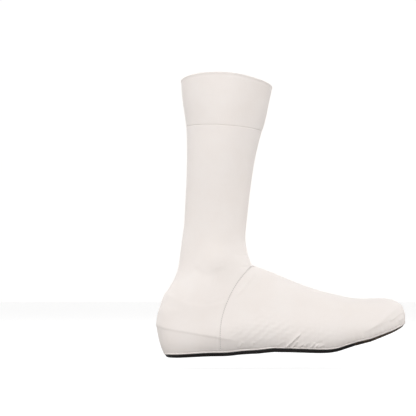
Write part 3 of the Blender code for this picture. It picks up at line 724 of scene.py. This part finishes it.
# the pitch of the ripples and the place of one crest, then the same of the short swells along each
RIPPLE_PITCH, RIPPLE_CREST = 7.5, 9.1
SWELL_PITCH, SWELL_CREST = 7.4, 77.0
# the heights between which the outer faces are divided, and those on the inner side that hold the ripples
VAMP_DIVIDED = (-0.010, 0.200)
RIPPLES_DIVIDED = (0.004, 0.044)


def ripple_heights(points):
    """The heights at points of the slanting ripples, each broken into short swells along its length."""
    x, z = points[:, 0] * 1000.0, points[:, 2] * 1000.0
    across = x * math.sin(RIPPLE_SLOPE) - z * math.cos(RIPPLE_SLOPE)
    along = x * math.cos(RIPPLE_SLOPE) + z * math.sin(RIPPLE_SLOPE)
    bent = across + 0.8 * np.sin(along / 8.7 + 0.4) + 0.5 * np.sin(along / 3.9 + across / 5.3)
    swell = 1.0 + 0.40 * np.cos(2.0 * math.pi * (along - SWELL_CREST) / SWELL_PITCH)
    swell += 0.30 * np.sin(along / 5.1 - across / 7.7)
    wave = np.cos(2.0 * math.pi * (bent - RIPPLE_CREST) / RIPPLE_PITCH) * swell
    total = np.zeros(len(points))
    for side, middle_x, middle_z, half_x, half_z, height in RIPPLE_PATCHES:
        patch = np.exp(-(((x - middle_x) / half_x) ** 2) - ((z - middle_z) / half_z) ** 2)
        total += height * 0.001 * patch * wave * side_share(points, side)
    return total


vamp = fine_wall("vamp_panel", "vamp_cloth", rim_round=0.00035, levels=2, grain=0)
divide_outside(vamp, *VAMP_DIVIDED)
divide_outside(vamp, *RIPPLES_DIVIDED, inner_side=True)
points = eased(points_of(vamp))
relief = drawn_heights(points, FOOT_LINES + VAMP_LINES) + swell_heights(points, VAMP_SWELLS)
relief += ripple_heights(points)
place_points(vamp, points + relief[:, None] * outward(points))
draw_together(leg, vamp)
dress(vamp, panel_cloth)
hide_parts("vamp_panel")
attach(vamp, "root")


# The seam between leg and vamp: the two edges butted and sewn flat, two short stitches in every 2.4 mm. The
# thread is white, but here it is painted grey as shade, so each pair reads as a small grey dot.
SEAM_PITCH = 0.0024
SEAM_HALF_LENGTH = 0.0006
# how near a point of one rim has to be to the other piece to belong to the joint, and how far along the joint
# its points are averaged, as an angle at a point below the foot
RIM_REACH = 0.0007
BELOW_FOOT = 0.010
BLUR = 0.012
COURSE_MARKS = 121
# from how far outside a stitch's end is dropped on the cloth, and how far inside it may land
DROP_FROM = 0.006
DROP_LENGTH = 0.012

bpy.ops.object.select_all(action="DESELECT")
bpy.ops.mesh.primitive_uv_sphere_add(
    segments=8, ring_count=6, radius=1.0, rotation=(0.0, math.radians(90.0), 0.0)
)
stitch = bpy.context.object
bpy.ops.object.transform_apply(location=False, rotation=True, scale=False)
stitch_points = points_of(stitch)
stitch_faces = [tuple(face.vertices) for face in stitch.data.polygons]
bpy.data.objects.remove(stitch)


# the twist of the thread, shared by both rows of stitches
twisted, enter, leave = effect("thread_twist", (("Place", "NodeSocketVector"),), ("Twist",))
turns = noise(twisted, enter.outputs["Place"], scale=2600.0, detail=2.0, roughness=0.5)
twisted.links.new(turns, leave.inputs["Twist"])


def thread(name, dark, light):
    """Twisted sewing thread between two tints."""
    material, tree, surface, where = plain_material(name, {"Sheen Weight": 0.3, "Specular IOR Level": 0.4})
    twist = value(tree, "ShaderNodeGroup", where, node_tree=twisted).outputs["Twist"]
    tree.links.new(blend(tree, twist, dark, light), surface["Base Color"])
    tree.links.new(spread(tree, twist, 0.3, 0.7, 0.50, 0.66), surface["Roughness"])
    tree.links.new(bumped(tree, twist, 0.5, 0.00008), surface["Normal"])
    return material


def even_places(path, pitch):
    """Places at an even pitch along a path."""
    steps = np.linalg.norm(np.diff(path, axis=0), axis=1)
    far = np.concatenate([[0.0], np.cumsum(steps)])
    marks = np.linspace(0.0, far[-1], int(round(far[-1] / pitch)) + 1)
    return np.stack([np.interp(marks, far, path[:, axis]) for axis in range(3)], axis=-1)


def lay_stitches(name, material, starts, ends, tops, lift, half_width, half_height):
    """One mesh of stitches, each bent from its start over its top to its end."""
    middles, runs = (starts + ends) / 2.0, (ends - starts) / 2.0
    sides = np.cross(tops, runs)
    sides /= np.linalg.norm(sides, axis=1, keepdims=True)
    a, b, c = (stitch_points[None, :, axis, None] for axis in range(3))
    laid = (
        middles[:, None] + runs[:, None] * a + tops[:, None] * (lift * (1.0 - a**2) + half_height * c)
        + sides[:, None] * half_width * b
    )
    count = len(stitch_points)
    faces = [
        tuple(count * index + corner for corner in face)
        for index in range(len(starts)) for face in stitch_faces
    ]
    mesh = bpy.data.meshes.new(name)
    mesh.from_pydata(laid.reshape(-1, 3).tolist(), [], faces)
    row = bpy.data.objects.new(name, mesh)
    bpy.context.collection.objects.link(row)
    mesh.polygons.foreach_set("use_smooth", np.ones(len(mesh.polygons), bool))
    mesh.materials.append(material)
    return row


# the seam's course: the middle of the joint, read from the rims of the two pieces, in order over the foot
leg_tree, vamp_tree = (
    BVHTree.FromObject(piece, bpy.context.evaluated_depsgraph_get()) for piece in (leg, vamp)
)
rim = []
for point in points_of(vamp):
    place, _, _, off = leg_tree.find_nearest(Vector(point), RIM_REACH)
    if place is not None:
        rim.append((point + np.array(place)) / 2.0)
rim = np.array(rim)
order = np.arctan2(rim[:, 1], rim[:, 2] + BELOW_FOOT)
marks = np.linspace(order.min(), order.max(), COURSE_MARKS)
course = np.array([
    (rim * weight[:, None]).sum(axis=0) / weight.sum()
    for weight in (np.exp(-(((order - mark) / BLUR) ** 2)) for mark in marks)
])
course = even_places(course, SEAM_PITCH / 3.0)
tangents = np.gradient(course, axis=0)
tangents /= np.linalg.norm(tangents, axis=1, keepdims=True)
# every third place stays open, and the first few, where the hem's roll covers them
covered = (np.arange(len(course)) % 3 != 0) & (np.arange(len(course)) > 3)
course, tangents = course[covered], tangents[covered]
starts, ends, tops = [], [], []
for place, tangent, way in zip(course, tangents, outward(course)):
    across = np.cross(way, tangent)
    across /= np.linalg.norm(across)
    hits = []
    for sign in (-1.0, 1.0):
        origin = Vector(place + sign * SEAM_HALF_LENGTH * across + DROP_FROM * way)
        drops = (tree.ray_cast(origin, Vector(-way), DROP_LENGTH) for tree in (leg_tree, vamp_tree))
        found = [(np.array(spot), off) for spot, _, _, off in drops if spot is not None]
        if found:
            hits.append(min(found, key=lambda hit: hit[1])[0])
    if len(hits) == 2:
        top = np.cross(tangent, hits[1] - hits[0])
        top *= np.sign(top @ way) / np.linalg.norm(top)
        starts.append(hits[0])
        ends.append(hits[1])
        tops.append(top)
# painted shade: the seam's thread is tinted grey, darker than the hem's white thread
seam_row = lay_stitches(
    "vamp_seam_stitches", thread("seam_thread_painted_grey", (0.590, 0.545, 0.520), (0.670, 0.625, 0.600)),
    np.array(starts), np.array(ends), np.array(tops), lift=0.00008, half_width=0.00046, half_height=0.00014,
)
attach(seam_row, "root")


# The hem binding: a narrow strip of smooth elastic rolled over the raw edge all round the foot, and whipped
# over with white thread every 1.6 mm.
HEM_PITCH = 0.0016
HEM_RADIUS = 0.00118
# where the stitches go in and come out, in degrees up from the roll's outermost line
STITCH_FROM = -55.0
STITCH_TO = 80.0
# the foot's straight middle line, round which the roll's rings are put in order, and its ends' half width
SPINE_BACK = -0.020
SPINE_FRONT = 0.180
END_HALF_WIDTH = 0.045
# the puckers above the roll: height, pitch, how far the pitch wanders, and over which length and height
PUCKER = 0.00013
PUCKER_PITCH = 0.0056
PUCKER_WANDER = 1.7
PUCKER_WANDER_PITCH = 0.0410
PUCKER_TOP = 0.055
PUCKER_FADE = 0.0028
ROLL_EDGE = 0.0012

hem = fine_wall("hem_binding", "hem_roll", rim_round=0.0005, levels=3)
place_points(hem, eased(points_of(hem)))
draw_together(leg, hem)
draw_together(vamp, hem)

# the roll's middle line: the middles of its small rings, in order round the foot
sides = np.sign(hem_middles[:, 1])
spine_x = np.clip(hem_middles[:, 0], SPINE_BACK, SPINE_FRONT)
beyond = hem_middles[:, 0] - spine_x
round_foot = np.where(np.abs(beyond) > 1e-9, np.arctan2(hem_middles[:, 1], beyond), sides * math.pi / 2.0)
far_round = round_foot * END_HALF_WIDTH - sides * (spine_x - SPINE_FRONT)
ring_middles = eased(hem_middles[np.argsort(far_round)])
looped = np.concatenate([ring_middles[-3:], ring_middles, ring_middles[:4]])
hem_course = []
for index in range(3, len(looped) - 4):
    # a curve through each four middles, so that the row of stitches bends as evenly as the roll
    p0, p1, p2, p3 = looped[index - 1:index + 3]
    for t in np.arange(0.0, 1.0, 0.1):
        hem_course.append(0.5 * (
            2.0 * p1 + (p2 - p0) * t + (2.0 * p0 - 5.0 * p1 + 4.0 * p2 - p3) * t**2
            + (3.0 * p1 - p0 - 3.0 * p2 + p3) * t**3
        ))
hem_course.append(hem_course[0])
hem_course = even_places(np.array(hem_course), HEM_PITCH)[:-1]
tangents = np.roll(hem_course, -1, axis=0) - np.roll(hem_course, 1, axis=0)
tangents /= np.linalg.norm(tangents, axis=1, keepdims=True)
outs = np.cross(tangents, (0.0, 0.0, 1.0))
outs /= np.linalg.norm(outs, axis=1, keepdims=True)
outs *= np.sign((outs * outward(hem_course)).sum(axis=1))[:, None]
ups = np.cross(outs, tangents)
ups *= np.sign(ups[:, 2])[:, None]


def round_roll(degrees):
    """Directions from the roll's middle line, some degrees up from the outside."""
    return math.cos(math.radians(degrees)) * outs + math.sin(math.radians(degrees)) * ups


hem_row = lay_stitches(
    "hem_whip_stitches", thread("white_thread", (0.860, 0.812, 0.775), (0.920, 0.880, 0.850)),
    hem_course + HEM_RADIUS * round_roll(STITCH_FROM), hem_course + HEM_RADIUS * round_roll(STITCH_TO),
    round_roll((STITCH_FROM + STITCH_TO) / 2.0),
    lift=HEM_RADIUS * (1.0 - math.cos(math.radians((STITCH_TO - STITCH_FROM) / 2.0))),
    half_width=0.00042, half_height=0.00014,
)
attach(hem_row, "root")

# the roll's own cloth runs along it: metres along the hem, and round the roll
near_hem = KDTree(len(hem_course))
for index, point in enumerate(hem_course):
    near_hem.insert(point, index)
near_hem.balance()
points = points_of(hem)
nearest = np.array([near_hem.find(point)[1] for point in points])
offsets = points - hem_course[nearest]
along = nearest * HEM_PITCH + (offsets * tangents[nearest]).sum(axis=1)
turn = np.arctan2((offsets * ups[nearest]).sum(axis=1), (offsets * outs[nearest]).sum(axis=1))
corners = np.empty(len(hem.data.loops), int)
hem.data.loops.foreach_get("vertex_index", corners)
layer = hem.data.uv_layers.new(name="cloth")
layer.data.foreach_set("uv", np.stack([turn[corners] * HEM_RADIUS, along[corners]], axis=-1).ravel())
dress(hem, white_cloth(
    "white_hem_elastic", rib=0.0005, course=0.0008, loop_depth=0.00008, slack_depth=0.0002,
    rough=(0.58, 0.70),
))
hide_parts("hem_binding")
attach(hem, "root")

# the whip stitches pull the cloth above the roll into small puckers
for piece in (leg, vamp):
    points = points_of(piece)
    low = np.flatnonzero(points[:, 2] < PUCKER_TOP)
    found = [near_hem.find(points[index]) for index in low]
    away = np.array([hit[2] for hit in found])
    along = np.array([hit[1] for hit in found]) * HEM_PITCH
    wander = PUCKER_WANDER * np.sin(2.0 * math.pi * along / PUCKER_WANDER_PITCH)
    fade = np.exp(-np.clip(away - ROLL_EDGE, 0.0, None) / PUCKER_FADE)
    pucker = PUCKER * np.sin(2.0 * math.pi * along / PUCKER_PITCH + wander) * fade
    points[low] += pucker[:, None] * outward(points[low])
    place_points(piece, points)


# The toe guard: a coarse hard-wearing cloth under the toe, woven of brown and black yarn in short rows, with a
# tan yarn showing here and there.
GUARD_GRAIN = 860.0
GUARD_ROWS = (1.0, 0.62, 1.0)
# the share of the grains up to each yarn's tint
GUARD_YARNS = (
    (0.00, (0.011, 0.009, 0.008)), (0.34, (0.020, 0.014, 0.012)), (0.42, (0.062, 0.040, 0.030)),
    (0.78, (0.095, 0.062, 0.042)), (0.90, (0.150, 0.104, 0.066)), (1.00, (0.220, 0.155, 0.095)),
)

guard = fine_wall("toe_guard", "toe_guard_cloth", rim_round=0.0004, levels=3, grain=0)
place_points(guard, eased(points_of(guard)))
draw_together(hem, guard)
guard_cloth, tree, surface, where = plain_material("brown_woven_guard", {"Specular IOR Level": 0.35})
rows = value(tree, "ShaderNodeMapping", where)
rows.inputs["Scale"].default_value = GUARD_ROWS
grain = value(tree, "ShaderNodeTexVoronoi", rows.outputs[0], None, GUARD_GRAIN)
grain_parts = value(tree, "ShaderNodeSeparateColor", grain.outputs["Color"])
wear = spread(tree, noise(tree, where, scale=60.0, detail=3.0, roughness=0.5), 0.35, 0.70, 0.80, 1.25)
yarns = ramp(tree, grain_parts.outputs[0], GUARD_YARNS)
tree.links.new(scaled(tree, yarns, wear), surface["Base Color"])
tree.links.new(spread(tree, grain_parts.outputs[1], 0.0, 1.0, 0.42, 0.75), surface["Roughness"])
tree.links.new(bumped(tree, grain.outputs["Distance"], 0.7, 0.0005, invert=True), surface["Normal"])
dress(guard, guard_cloth)
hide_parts("toe_guard")
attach(guard, "root")


# The undersole: a thin black coated cloth under the foot, with two openings. Its coating has a fine pebble,
# rubbed a little paler on the high spots.
PEBBLE = 1100.0
BLACK_COATING = (0.0115, 0.0095, 0.0090)
RUBBED_COATING = (0.0300, 0.0260, 0.0240)

sole = fine_wall("undersole", "undersole_cloth", rim_round=0.0004, levels=2, grain=0)
place_points(sole, eased(points_of(sole)))
draw_together(hem, sole)
draw_together(guard, sole)
sole_cloth, tree, surface, where = plain_material("black_coated_cloth", {"Specular IOR Level": 0.45})
pebble = value(tree, "ShaderNodeTexVoronoi", where, None, PEBBLE).outputs["Distance"]
worn = spread(tree, noise(tree, where, scale=90.0, detail=4.0, roughness=0.6), 0.45, 0.75, 0.0, 1.0)
high_spots = spread(tree, pebble, 0.0, 0.5, 1.0, 0.0)
rubbed = value(tree, "ShaderNodeMath", worn, high_spots, operation="MULTIPLY").outputs[0]
tree.links.new(blend(tree, rubbed, BLACK_COATING, RUBBED_COATING), surface["Base Color"])
tree.links.new(spread(tree, rubbed, 0.0, 1.0, 0.48, 0.74), surface["Roughness"])
tree.links.new(bumped(tree, pebble, 0.5, 0.00025, invert=True), surface["Normal"])
dress(sole, sole_cloth)
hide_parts("undersole")
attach(sole, "root")

low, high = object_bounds()
